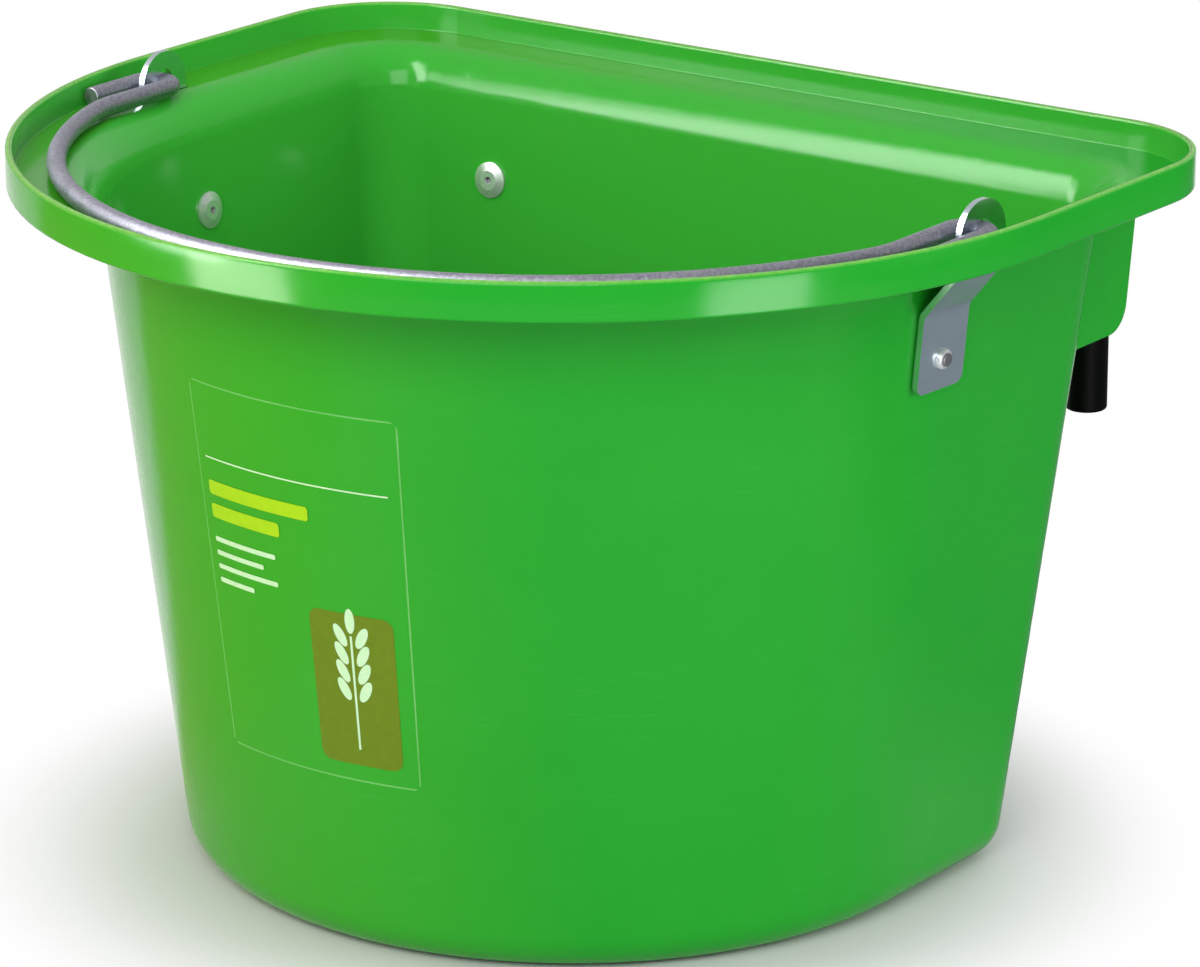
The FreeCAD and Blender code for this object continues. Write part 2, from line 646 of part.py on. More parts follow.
os.makedirs("parts", exist_ok=True)
for part in parts:
    part.Shape.exportStep(f"parts/{part.Label}.step")
    print(part.Label, len(part.Shape.Solids), round(part.Shape.Volume, 1))
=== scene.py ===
import math

import bmesh
import bpy
from mathutils import Matrix, Vector


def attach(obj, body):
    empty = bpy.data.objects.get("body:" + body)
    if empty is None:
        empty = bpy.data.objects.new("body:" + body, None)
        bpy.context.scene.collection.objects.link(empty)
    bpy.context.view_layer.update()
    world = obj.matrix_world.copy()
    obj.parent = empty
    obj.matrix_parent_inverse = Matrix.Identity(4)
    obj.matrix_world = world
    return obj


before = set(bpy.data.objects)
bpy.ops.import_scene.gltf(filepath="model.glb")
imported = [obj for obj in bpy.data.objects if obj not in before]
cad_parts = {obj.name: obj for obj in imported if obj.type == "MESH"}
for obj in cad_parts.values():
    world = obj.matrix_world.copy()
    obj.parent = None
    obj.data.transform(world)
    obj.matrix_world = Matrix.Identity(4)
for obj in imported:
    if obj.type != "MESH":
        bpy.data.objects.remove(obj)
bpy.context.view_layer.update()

# Bucket shell.
# One injection moulding in green polypropylene: a D-shaped bowl, its outturned ledge, the upright
# rim band and the two stand-off ribs behind. It came out of a polished steel mould.


def srgb(hex_colour):
    """A colour written as in a paint chart, turned into the linear values that the shaders take."""
    channels = [int(hex_colour[at:at + 2], 16) / 255 for at in (1, 3, 5)]
    return [c / 12.92 if c <= 0.04045 else ((c + 0.055) / 1.055) ** 2.4 for c in channels] + [1.0]


def add(tree, kind, links=None, values=None, **settings):
    """One shader node with its settings, the plain values of its sockets and the links into them."""
    made = tree.nodes.new(kind)
    for name, setting in settings.items():
        setattr(made, name, setting)
    for socket, value in (values or {}).items():
        made.inputs[socket].default_value = value
    for socket, source in (links or {}).items():
        tree.links.new(source, made.inputs[socket])
    return made


def finish_named(name):
    """An empty material with its node tree, its main shader and the object's own coordinates."""
    material = bpy.data.materials.new(name)
    material.use_nodes = True
    tree = material.node_tree
    place = add(tree, "ShaderNodeTexCoord").outputs["Object"]
    return material, tree, tree.nodes["Principled BSDF"], place


def lead(tree, skin, sources):
    """Leads a finish's colour, roughness and relief into its main shader."""
    for socket, source in sources.items():
        tree.links.new(source, skin.inputs[socket])


def dress(node, material):
    """Gives a solid of the frame its finish in place of the plain one it came with."""
    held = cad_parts[node].data.materials
    held.clear()
    held.append(material)


# Polypropylene from a polished mould: a clean saturated green with a wet gloss. The eye sees faint
# clouds of yellower green where the melt flowed, a painted warm light that yellows the left side, a rim
# rubbed paler along its top with a painted highlight on that edge, fine scuffs, a painted paler and
# warmer sheen on the inside faces, and duller ribs, because that part of the mould was left plain.
# Edges are eased, and the rim band's outside is a little crowned.
PLASTIC_IOR, PLASTIC_SHEEN = 1.49, 0.22
FLOW_CLOUD = 0.055
GLOSS_PATCH = 0.012
ORANGE_PEEL, PEEL_DEEP = 0.0022, 0.0004  # really about 0.7 mm wide, drawn coarser so that it shows
SCUFF_LONG, SCUFF_WIDE, SCUFF_TURN = 0.03, 0.0009, math.radians(12)
RIM_TOP, RUB_AND_GLINT_DOWN, RUB_GRIT = 0.2600, 0.0010, 0.0016
CROWN_FROM, CROWN_CURVE = 0.2500, 20.0
EDGE_EASED = 0.0009
WARM_LIGHT_FROM, WARM_LIGHT_TO = 0.09, -0.07
INWARD_NONE, INWARD_FULL = 0.0, -0.05
RIB_FROM, RIB_FROM_FADE = 0.1045, 0.002
RIB_TOP, RIB_TOP_FADE = 0.2462, 0.0005


def moulded_green_and_warm_light(tree, place, green, greener, warm_lit_green):
    """The moulding's colour: flow clouds of two greens, with a painted warm light that yellows them towards
    the left.
    """
    sideways = add(tree, "ShaderNodeSeparateXYZ", {"Vector": place}).outputs["X"]
    clouds = add(tree, "ShaderNodeTexNoise", {"Vector": place},
                 {"Scale": 1 / FLOW_CLOUD, "Detail": 3.0, "Roughness": 0.55})
    greens = add(tree, "ShaderNodeMix", {"Factor": clouds.outputs["Fac"]},
                 {"A": srgb(green), "B": srgb(greener)}, data_type="RGBA")
    # Painted warm light: the green turns yellower towards the left, at negative X.
    warm_light_side = add(tree, "ShaderNodeMapRange", {"Value": sideways},
                 {"From Min": WARM_LIGHT_FROM, "From Max": WARM_LIGHT_TO})
    warm_lit = add(tree, "ShaderNodeMix", {"Factor": warm_light_side.outputs["Result"], "A": greens.outputs["Result"]},
                   {"B": srgb(warm_lit_green)}, data_type="RGBA")
    return clouds.outputs["Fac"], warm_lit.outputs["Result"]


shell_green, tree, skin, place = finish_named("polypropylene_moulded_green")
skin.inputs["IOR"].default_value = PLASTIC_IOR
skin.inputs["Specular IOR Level"].default_value = PLASTIC_SHEEN
axes = add(tree, "ShaderNodeSeparateXYZ", {"Vector": place})
clouds, warm_lit = moulded_green_and_warm_light(tree, place, "#1A9E27", "#24A42A", "#42A523")

# The inside is where a face looks back towards the bowl's upright middle line.
facing = add(tree, "ShaderNodeTexCoord").outputs["Normal"]
level = add(tree, "ShaderNodeVectorMath", {0: place}, {1: (1.0, 1.0, 0.0)}, operation="MULTIPLY")
outward = add(tree, "ShaderNodeVectorMath", {0: level.outputs["Vector"], 1: facing},
              operation="DOT_PRODUCT")
inside = add(tree, "ShaderNodeMapRange", {"Value": outward.outputs["Value"]},
             {"From Min": INWARD_NONE, "From Max": INWARD_FULL})
# A painted sheen: the inside faces are mixed to a paler, warmer green, standing in for the warm light and
# haze inside the bowl.
inside_sheen = add(tree, "ShaderNodeMix", {"Factor": inside.outputs["Result"], "A": warm_lit},
          {"B": srgb("#39AB35")}, data_type="RGBA")

# The rim's top is rubbed paler, in grains, and the same pale line is a painted highlight along its top edge.
grit = add(tree, "ShaderNodeTexNoise", {"Vector": place}, {"Scale": 1 / RUB_GRIT, "Detail": 4.0})
near_top = add(tree, "ShaderNodeMapRange", {"Value": axes.outputs["Z"]},
               {"From Min": RIM_TOP - RUB_AND_GLINT_DOWN, "From Max": RIM_TOP})
rubbed_and_glint = add(tree, "ShaderNodeMath", {0: near_top.outputs["Result"], 1: grit.outputs["Fac"]},
             operation="MULTIPLY")
worn_and_glint = add(tree, "ShaderNodeMix", {"Factor": rubbed_and_glint.outputs[0], "A": inside_sheen.outputs["Result"]},
           {"B": srgb("#9CD068")}, data_type="RGBA")

# Scuffs run nearly level, in the patches where the bucket is handled.
drawn = add(tree, "ShaderNodeMapping", {"Vector": place},
            {"Rotation": (0.0, SCUFF_TURN, 0.0), "Scale": (1.0, 1.0, SCUFF_LONG / SCUFF_WIDE)})
scratches = add(tree, "ShaderNodeTexNoise", {"Vector": drawn.outputs["Vector"]},
                {"Scale": 1 / SCUFF_LONG, "Detail": 5.0, "Roughness": 0.7})
handled = add(tree, "ShaderNodeMapRange", {"Value": clouds}, {"From Min": 0.52, "From Max": 0.72})
scuffs = add(tree, "ShaderNodeMapRange",
             {"Value": scratches.outputs["Fac"], "To Max": handled.outputs["Result"]},
             {"From Min": 0.56, "From Max": 0.78, "To Min": 0.0})
scuffed = add(tree, "ShaderNodeMix", {"Factor": scuffs.outputs["Result"], "A": worn_and_glint.outputs["Result"]},
              {"B": srgb("#40AE48")}, data_type="RGBA")

# The gloss is patchy, duller where it is scuffed and matt on the ribs.
behind = add(tree, "ShaderNodeMapRange", {"Value": axes.outputs["Y"]},
             {"From Min": RIB_FROM, "From Max": RIB_FROM + RIB_FROM_FADE})
below = add(tree, "ShaderNodeMapRange", {"Value": axes.outputs["Z"]},
            {"From Min": RIB_TOP + RIB_TOP_FADE, "From Max": RIB_TOP})
rib = add(tree, "ShaderNodeMath", {0: behind.outputs["Result"], 1: below.outputs["Result"]},
          operation="MULTIPLY")
patches = add(tree, "ShaderNodeTexNoise", {"Vector": place}, {"Scale": 1 / GLOSS_PATCH, "Detail": 4.0})
gloss = add(tree, "ShaderNodeMapRange", {"Value": patches.outputs["Fac"]},
            {"From Min": 0.3, "From Max": 0.7, "To Min": 0.13, "To Max": 0.18})
dulled = add(tree, "ShaderNodeMath", {0: scuffs.outputs["Result"], 2: gloss.outputs["Result"]}, {1: 0.2},
             operation="MULTIPLY_ADD")
matt = add(tree, "ShaderNodeMix", {"Factor": rib.outputs[0], "A": dulled.outputs[0]}, {"B": 0.5},
           data_type="FLOAT")

# The band's outside bends in towards its top, and the skin has a faint orange peel.
above = add(tree, "ShaderNodeMath", {0: axes.outputs["Z"]}, {1: CROWN_FROM}, operation="SUBTRACT")
above = add(tree, "ShaderNodeMath", {0: above.outputs[0]}, {1: 0.0}, operation="MAXIMUM")
crown = add(tree, "ShaderNodeMath", {0: above.outputs[0], 1: above.outputs[0]}, operation="MULTIPLY")
outside = add(tree, "ShaderNodeMath", {1: inside.outputs["Result"]}, {0: 1.0}, operation="SUBTRACT")
crown = add(tree, "ShaderNodeMath", {0: crown.outputs[0], 1: outside.outputs[0]}, operation="MULTIPLY")
eased = add(tree, "ShaderNodeBevel", values={"Radius": EDGE_EASED}, samples=6)
crowned = add(tree, "ShaderNodeBump", {"Height": crown.outputs[0], "Normal": eased.outputs["Normal"]},
              {"Strength": 1.0, "Distance": CROWN_CURVE / 2}, invert=True)
peel = add(tree, "ShaderNodeTexNoise", {"Vector": place}, {"Scale": 1 / ORANGE_PEEL, "Detail": 2.0})
relief = add(tree, "ShaderNodeBump", {"Height": peel.outputs["Fac"], "Normal": crowned.outputs["Normal"]},
             {"Strength": 0.012, "Distance": PEEL_DEEP})
lead(tree, skin, {"Base Color": scuffed.outputs["Result"], "Roughness": matt.outputs["Result"],
                  "Normal": relief.outputs["Normal"]})
dress("bucket_shell", shell_green)

# Film label.
# A clear film about 87 by 135 mm with rounded corners, stuck on the middle of the round front. It shows
# the shell's green through it, with an olive panel, an ear of grain and plain bars printed on it.
LABEL_WIDE, LABEL_TALL, LABEL_CORNER = 0.0866, 0.1345, 0.003
LABEL_TURN, LABEL_HEIGHT = math.radians(270), 0.133
FILM_THICK = 0.00012
SLICE = 0.0018
CORNER_STEPS = 6

# The round wall's radius at its foot, how far it leans out over its rise, and how far its centre
# stands back at the foot.
WALL_FOOT, WALL_LEAN, WALL_RISE, WALL_BACK = 0.1392, 0.0253, 0.248, 0.0037


def card(wide, tall, corner, middle=(0.0, 0.0)):
    """A flat card with rounded corners, as it is cut before it is stuck on."""
    flat = bmesh.new()
    bmesh.ops.create_grid(flat, x_segments=1, y_segments=1, size=0.5)
    bmesh.ops.scale(flat, vec=(wide, tall, 1.0), verts=flat.verts)
    bmesh.ops.bevel(flat, geom=flat.verts[:], offset=corner, affect="VERTICES", segments=CORNER_STEPS,
                    profile=0.5, material=-1)
    bmesh.ops.translate(flat, vec=(*middle, 0.0), verts=flat.verts)
    return flat


def print_too(flat, extra):
    """Adds one more flat card to a print that is stuck on as one piece."""
    spare = bpy.data.meshes.new("spare")
    extra.to_mesh(spare)
    extra.free()
    flat.from_mesh(spare)
    bpy.data.meshes.remove(spare)


def stick(flat, name, material, lift):
    """Sticks a flat piece on the leaning round wall, and keeps its flat place as its pattern's map."""
    slices = int(LABEL_WIDE / 2 / SLICE)
    for at in range(-slices, slices + 1):
        bmesh.ops.bisect_plane(flat, geom=flat.verts[:] + flat.edges[:] + flat.faces[:],
                               plane_co=(at * SLICE, 0.0, 0.0), plane_no=(1.0, 0.0, 0.0))
    flat_place = flat.loops.layers.uv.new("flat_place")
    for face in flat.faces:
        for corner in face.loops:
            corner[flat_place].uv = (corner.vert.co.x, corner.vert.co.y)
    slope = math.atan2(WALL_LEAN, WALL_RISE)
    around = WALL_FOOT + WALL_LEAN * LABEL_HEIGHT / WALL_RISE
    for point in flat.verts:
        turn = LABEL_TURN + point.co.x / around
        height = LABEL_HEIGHT + point.co.y * math.cos(slope)
        reach = WALL_FOOT + WALL_LEAN * height / WALL_RISE + lift
        back = WALL_BACK * (1 - height / WALL_RISE)
        point.co = (reach * math.cos(turn), reach * math.sin(turn) + back, height)
    bmesh.ops.recalc_face_normals(flat, faces=flat.faces)
    mesh = bpy.data.meshes.new(name)
    flat.to_mesh(mesh)
    flat.free()
    mesh.shade_smooth()
    mesh.materials.append(material)
    piece = bpy.data.objects.new(name, mesh)
    bpy.context.scene.collection.objects.link(piece)
    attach(piece, "bucket")


# Clear polypropylene film, printed on its back: glossier than the wall, with a pale line round it
# where its cut edge catches the light, and faint waves where it was smoothed down.
CUT_EDGE, CUT_EDGE_FADE = 0.0004, 0.0003
FILM_WAVE, FILM_WAVE_DEEP = 0.014, 0.001
film_clear, tree, skin, place = finish_named("polypropylene_film_clear")
skin.inputs["IOR"].default_value = PLASTIC_IOR
skin.inputs["Specular IOR Level"].default_value = PLASTIC_SHEEN
flat_map = add(tree, "ShaderNodeUVMap", uv_map="flat_place").outputs["UV"]
sides = add(tree, "ShaderNodeVectorMath", {0: flat_map}, operation="ABSOLUTE")
spans = add(tree, "ShaderNodeSeparateXYZ", {"Vector": sides.outputs["Vector"]})
across, upright = (
    add(tree, "ShaderNodeMapRange", {"Value": spans.outputs[axis]},
        {"From Min": span / 2 - CUT_EDGE - CUT_EDGE_FADE, "From Max": span / 2 - CUT_EDGE})
    for axis, span in (("X", LABEL_WIDE), ("Y", LABEL_TALL)))
border = add(tree, "ShaderNodeMath", {0: across.outputs["Result"], 1: upright.outputs["Result"]},
             operation="MAXIMUM")
# The film gets the same flow clouds and the same painted warm light towards the left as the wall.
clouds, warm_lit = moulded_green_and_warm_light(tree, place, "#1C9F28", "#26A52B", "#43A624")
glint = add(tree, "ShaderNodeMath", {0: border.outputs[0], 1: clouds}, operation="MULTIPLY")
edged = add(tree, "ShaderNodeMix", {"Factor": glint.outputs[0], "A": warm_lit},
            {"B": srgb("#8FD283")}, data_type="RGBA")
waves = add(tree, "ShaderNodeTexNoise", {"Vector": place}, {"Scale": 1 / FILM_WAVE, "Detail": 2.0})
gloss = add(tree, "ShaderNodeMapRange", {"Value": waves.outputs["Fac"]}, {"To Min": 0.07, "To Max": 0.13})
relief = add(tree, "ShaderNodeBump", {"Height": waves.outputs["Fac"]},
             {"Strength": 0.03, "Distance": FILM_WAVE_DEEP})
lead(tree, skin, {"Base Color": edged.outputs["Result"], "Roughness": gloss.outputs["Result"],
                  "Normal": relief.outputs["Normal"]})

# Screen-printed inks under the film: flat opaque colours, a little uneven where the screen left less
# ink, with the film's own gloss.
INK_MOTTLE = 0.0025
inks = {}
for ink, thin, full in (
    ("olive", "#6F8A18", "#647A12"),
    ("white", "#BDE8B4", "#D6F2CC"),
    ("yellow", "#9FD11C", "#B4DC1E"),
):
    inks[ink], tree, skin, place = finish_named("screen_ink_" + ink)
    skin.inputs["IOR"].default_value = PLASTIC_IOR
    skin.inputs["Specular IOR Level"].default_value = PLASTIC_SHEEN
    mottle = add(tree, "ShaderNodeTexNoise", {"Vector": place}, {"Scale": 1 / INK_MOTTLE, "Detail": 3.0})
    laid = add(tree, "ShaderNodeMix", {"Factor": mottle.outputs["Fac"]},
               {"A": srgb(thin), "B": srgb(full)}, data_type="RGBA")
    gloss = add(tree, "ShaderNodeMapRange", {"Value": mottle.outputs["Fac"]},
                {"To Min": 0.08, "To Max": 0.16})
    lead(tree, skin, {"Base Color": laid.outputs["Result"], "Roughness": gloss.outputs["Result"]})

# The film and the olive panel on it.
PANEL_WIDE, PANEL_TALL, PANEL_CORNER = 0.0330, 0.0560, 0.0040
PANEL_RIGHT, PANEL_UP = 0.0205, -0.0330
stick(card(LABEL_WIDE, LABEL_TALL, LABEL_CORNER), "label_film", film_clear, FILM_THICK)
stick(card(PANEL_WIDE, PANEL_TALL, PANEL_CORNER, (PANEL_RIGHT, PANEL_UP)), "label_panel", inks["olive"],
      2 * FILM_THICK)

# The white print: a thin rule across, four narrow bars that start level, and the ear of grain.
RULE_WIDE, RULE_TALL, RULE_CORNER, RULE_UP = 0.0770, 0.0006, 0.0002, 0.0400
BARS_LEFT = -0.0385
BAR_TALL, BAR_CORNER, BAR_TOP, BAR_STEP = 0.0018, 0.0006, 0.0100, 0.0050
BAR_WIDTHS = (0.0300, 0.0240, 0.0300, 0.0180)
KERNEL_SIDES, KERNEL_UNIT = 20, 0.001
KERNEL_WIDE, KERNEL_TALL, TIP_TALL = 1.9, 4.4, 4.6
KERNEL_ROWS, KERNEL_STEP, KERNEL_OUT, KERNEL_SPLAY = 4, 0.0066, 0.0042, math.radians(28)
TIP_UP = -0.0075
STALK_WIDE, STALK_TALL, STALK_UP = 0.0009, 0.0420, -0.0340


def kernel(flat, tall, splay, middle):
    """One long grain of the ear, turned away from the stalk."""
    grain = bmesh.ops.create_circle(flat, cap_ends=True, segments=KERNEL_SIDES, radius=KERNEL_UNIT)["verts"]
    bmesh.ops.scale(flat, vec=(KERNEL_WIDE, tall, 1.0), verts=grain)
    bmesh.ops.rotate(flat, matrix=Matrix.Rotation(splay, 3, "Z"), verts=grain)
    bmesh.ops.translate(flat, vec=(*middle, 0.0), verts=grain)


print_white = card(RULE_WIDE, RULE_TALL, RULE_CORNER, (0.0, RULE_UP))
for row, wide in enumerate(BAR_WIDTHS):
    print_too(print_white, card(wide, BAR_TALL, BAR_CORNER, (BARS_LEFT + wide / 2, BAR_TOP - row * BAR_STEP)))
for side in (-1, 1):
    for row in range(KERNEL_ROWS):
        kernel(print_white, KERNEL_TALL, -side * KERNEL_SPLAY,
               (PANEL_RIGHT + side * KERNEL_OUT, PANEL_UP + row * KERNEL_STEP))
kernel(print_white, TIP_TALL, 0.0, (PANEL_RIGHT, TIP_UP))
stalk = bmesh.ops.create_grid(print_white, x_segments=1, y_segments=1, size=0.5)["verts"]
bmesh.ops.scale(print_white, vec=(STALK_WIDE, STALK_TALL, 1.0), verts=stalk)
bmesh.ops.translate(print_white, vec=(PANEL_RIGHT, STALK_UP, 0.0), verts=stalk)
stick(print_white, "label_marks", inks["white"], 3 * FILM_THICK)

# The yellow print: two thick bars above the narrow ones, which start level with them.
THICK_TALL, THICK_CORNER = 0.0052, 0.0012
THICK_LONG, THICK_LONG_UP = 0.0460, 0.0290
THICK_SHORT, THICK_SHORT_UP = 0.0330, 0.0205
print_yellow = card(THICK_LONG, THICK_TALL, THICK_CORNER, (BARS_LEFT + THICK_LONG / 2, THICK_LONG_UP))
print_too(print_yellow,
          card(THICK_SHORT, THICK_TALL, THICK_CORNER, (BARS_LEFT + THICK_SHORT / 2, THICK_SHORT_UP)))
stick(print_yellow, "label_bars", inks["yellow"], 3 * FILM_THICK)

# Handle ears.
# Two flat steel straps, punched, bent and bright zinc plated, riveted to the side walls and standing
# up through the ledge to carry the bail. The plating is a blue-grey mirror, dulled by the strip's
# rolling lines and clouded by a faint bloom.
STRAP_GRAIN, STRAP_GRAIN_DEEP = 0.0012, 0.0002  # really about 0.2 mm wide, drawn coarser so that it shows
STRAP_GRAIN_DRAWN = 0.06
STRAP_BLOOM = 0.009
strap_zinc, tree, skin, place = finish_named("steel_strip_bright_zinc_plated")
skin.inputs["Metallic"].default_value = 1.0
rolled = add(tree, "ShaderNodeMapping", {"Vector": place}, {"Scale": (1.0, 1.0, STRAP_GRAIN_DRAWN)})
lines = add(tree, "ShaderNodeTexNoise", {"Vector": rolled.outputs["Vector"]},
            {"Scale": 1 / STRAP_GRAIN, "Detail": 3.0})
bloom = add(tree, "ShaderNodeTexNoise", {"Vector": place}, {"Scale": 1 / STRAP_BLOOM, "Detail": 3.0})
tints = add(tree, "ShaderNodeMix", {"Factor": bloom.outputs["Fac"]},
            {"A": srgb("#C4D3DA"), "B": srgb("#E2ECF0")}, data_type="RGBA")
gloss = add(tree, "ShaderNodeMapRange", {"Value": lines.outputs["Fac"]}, {"To Min": 0.19, "To Max": 0.27})
relief = add(tree, "ShaderNodeBump", {"Height": lines.outputs["Fac"]},
             {"Strength": 0.03, "Distance": STRAP_GRAIN_DEEP})
lead(tree, skin, {"Base Color": tints.outputs["Result"], "Roughness": gloss.outputs["Result"],
                  "Normal": relief.outputs["Normal"]})
dress("left_handle_ear", strap_zinc)
dress("right_handle_ear", strap_zinc)

# Bail handle.
# One length of galvanised steel wire, bent to a hoop with its ends turned out through the ears. It
# swings between lying on the front rim and lying on the back one. The zinc is dull and grainy, with
# crystals that shine unequally.
SPANGLE = 0.0025
WIRE_GRIT, WIRE_GRIT_DEEP = 0.0011, 0.0004
wire_zinc, tree, skin, place = finish_named("steel_wire_hot_dip_galvanised")
skin.inputs["Metallic"].default_value = 1.0
crystals = add(tree, "ShaderNodeTexVoronoi", {"Vector": place}, {"Scale": 1 / SPANGLE})
grain = add(tree, "ShaderNodeTexNoise", {"Vector": place},
            {"Scale": 1 / WIRE_GRIT, "Detail": 5.0, "Roughness": 0.7})
speckle = add(tree, "ShaderNodeMapRange", {"Value": grain.outputs["Fac"]},
              {"From Min": 0.35, "From Max": 0.65})
tints = add(tree, "ShaderNodeMix", {"Factor": speckle.outputs["Result"]},
            {"A": srgb("#8A8896"), "B": srgb("#B4B3BE")}, data_type="RGBA")
gloss = add(tree, "ShaderNodeMapRange", {"Value": crystals.outputs["Color"]},
            {"To Min": 0.42, "To Max": 0.58})
relief = add(tree, "ShaderNodeBump", {"Height": grain.outputs["Fac"]},
             {"Strength": 0.35, "Distance": WIRE_GRIT_DEEP})
lead(tree, skin, {"Base Color": tints.outputs["Result"], "Roughness": gloss.outputs["Result"],
                  "Normal": relief.outputs["Normal"]})
dress("bail_handle", wire_zinc)

# Hanging hooks.
# Two rods of round steel, bent over at the top and flattened to a palm below, zinc plated and riveted
# through the back wall. The plating is satin, and clouded where it has bloomed.
ROD_BLOOM = 0.006
rod_zinc, tree, skin, place = finish_named("steel_rod_bright_zinc_plated")
skin.inputs["Metallic"].default_value = 1.0
bloom = add(tree, "ShaderNodeTexNoise", {"Vector": place}, {"Scale": 1 / ROD_BLOOM, "Detail": 5.0})
tints = add(tree, "ShaderNodeMix", {"Factor": bloom.outputs["Fac"]},
            {"A": srgb("#95A1A6"), "B": srgb("#B8C0C3")}, data_type="RGBA")
gloss = add(tree, "ShaderNodeMapRange", {"Value": bloom.outputs["Fac"]}, {"To Min": 0.24, "To Max": 0.44})
lead(tree, skin, {"Base Color": tints.outputs["Result"], "Roughness": gloss.outputs["Result"]})
dress("left_hook_rod", rod_zinc)
dress("right_hook_rod", rod_zinc)

# Hook sleeves.
# Black soft vinyl tubes, extruded and cut to length, pushed over the hooks' free ends so that they
# don't mark the door. The vinyl is a deep black with hardly any sheen, and greyer in soft patches.
VINYL_PATCH = 0.005
sleeve_black, tree, skin, place = finish_named("soft_vinyl_extruded_black")
skin.inputs["IOR"].default_value = 1.53
skin.inputs["Specular IOR Level"].default_value = 0.06
patches = add(tree, "ShaderNodeTexNoise", {"Vector": place}, {"Scale": 1 / VINYL_PATCH, "Detail": 4.0})
tints = add(tree, "ShaderNodeMix", {"Factor": patches.outputs["Fac"]},
            {"A": srgb("#030403"), "B": srgb("#080908")}, data_type="RGBA")
gloss = add(tree, "ShaderNodeMapRange", {"Value": patches.outputs["Fac"]}, {"To Min": 0.4, "To Max": 0.55})
lead(tree, skin, {"Base Color": tints.outputs["Result"], "Roughness": gloss.outputs["Result"]})
dress("left_hook_sleeve", sleeve_black)
dress("right_hook_sleeve", sleeve_black)

# Blind rivets.
# Aluminium rivets with domed heads, set from inside the bowl, with the broken steel stem left in each.
# One holds each ear and one each hook.

# Cold-headed aluminium, tumbled: a pale satin metal, with small patches rubbed brighter.
RIVET_RUB = 0.0018
rivet_satin, tree, skin, place = finish_named("aluminium_cold_headed_satin")
skin.inputs["Metallic"].default_value = 0.75
tumbled = add(tree, "ShaderNodeTexNoise", {"Vector": place}, {"Scale": 1 / RIVET_RUB, "Detail": 4.0})
tints = add(tree, "ShaderNodeMix", {"Factor": tumbled.outputs["Fac"]},
            {"A": srgb("#D8D9DB"), "B": srgb("#F2F3F4")}, data_type="RGBA")
gloss = add(tree, "ShaderNodeMapRange", {"Value": tumbled.outputs["Fac"]},
            {"To Min": 0.24, "To Max": 0.38})
lead(tree, skin, {"Base Color": tints.outputs["Result"], "Roughness": gloss.outputs["Result"]})

# Steel that was pulled until it snapped: a darker grey with a rough torn grain.
TORN_GRAIN, TORN_DEEP = 0.0006, 0.0002
stem_steel, tree, skin, place = finish_named("steel_stem_snapped")
skin.inputs["Metallic"].default_value = 1.0
torn = add(tree, "ShaderNodeTexNoise", {"Vector": place}, {"Scale": 1 / TORN_GRAIN, "Detail": 4.0})
tints = add(tree, "ShaderNodeMix", {"Factor": torn.outputs["Fac"]},
            {"A": srgb("#6E6E72"), "B": srgb("#A0A0A4")}, data_type="RGBA")
gloss = add(tree, "ShaderNodeMapRange", {"Value": torn.outputs["Fac"]}, {"To Min": 0.4, "To Max": 0.65})
relief = add(tree, "ShaderNodeBump", {"Height": torn.outputs["Fac"]},
             {"Strength": 0.4, "Distance": TORN_DEEP})
lead(tree, skin, {"Base Color": tints.outputs["Result"], "Roughness": gloss.outputs["Result"],
                  "Normal": relief.outputs["Normal"]})
for held_piece in ("left_ear", "right_ear", "left_hook", "right_hook"):
    dress(held_piece + "_rivet", rivet_satin)
    dress(held_piece + "_mandrel", stem_steel)

# Studio floor.
# A plain matt paper sweep that the manger stands on, none of it part of the manger. The camera sees it
# pale, with the shadow, and plain white further out. Other rays meet the paper with a painted warm light,
# yellow-green, to the left and a painted shade at the right rear, so that the shell mirrors a set with some
# colour in it.
FLOOR_HALF = 6.0
SHADOW_KEPT, SHADOW_GONE = 0.13, 0.23
floor_mesh = bpy.data.meshes.new("studio_floor")
sweep = bmesh.new()
bmesh.ops.create_grid(sweep, x_segments=1, y_segments=1, size=FLOOR_HALF)
sweep.to_mesh(floor_mesh)
sweep.free()
floor = bpy.data.objects.new("studio_floor", floor_mesh)
bpy.context.scene.collection.objects.link(floor)
floor_white, tree, skin, place = finish_named("studio_sweep_matt_white")
skin.inputs["Roughness"].default_value = 0.9
skin.inputs["Specular IOR Level"].default_value = 0.0
ray = add(tree, "ShaderNodeLightPath")
seen = add(tree, "ShaderNodeMath", {0: ray.outputs["Is Camera Ray"], 1: ray.outputs["Is Transmission Ray"]},
           operation="MAXIMUM")
unseen = add(tree, "ShaderNodeMath", {1: seen.outputs[0]}, {0: 1.0}, operation="SUBTRACT")

# How far each part of the floor has come in, along one of its axes.
spread = add(tree, "ShaderNodeSeparateXYZ", {"Vector": place})
come_in = {}
for part, axis, start, end in (
    ("warm light left", "X", -0.06, -0.22),
    ("dim rear", "Y", 0.05, 0.2),
    ("dim right", "X", -0.1, 0.05),
    ("white rear", "Y", -0.06, -0.01),
    ("white left", "X", 0.1, -0.15),
):
    fade = add(tree, "ShaderNodeMapRange", {"Value": spread.outputs[axis]},
               {"From Min": start, "From Max": end}, interpolation_type="SMOOTHSTEP")
    come_in[part] = fade.outputs["Result"]

# Painted warm light: the paper turns yellow-green to the left, for rays the camera doesn't see.
painted_warm_light = add(tree, "ShaderNodeMath", {0: come_in["warm light left"], 1: unseen.outputs[0]}, operation="MULTIPLY")
paper = add(tree, "ShaderNodeMix", {"Factor": painted_warm_light.outputs[0]},
            {"A": srgb("#D2D2D2"), "B": srgb("#B8D08C")}, data_type="RGBA")
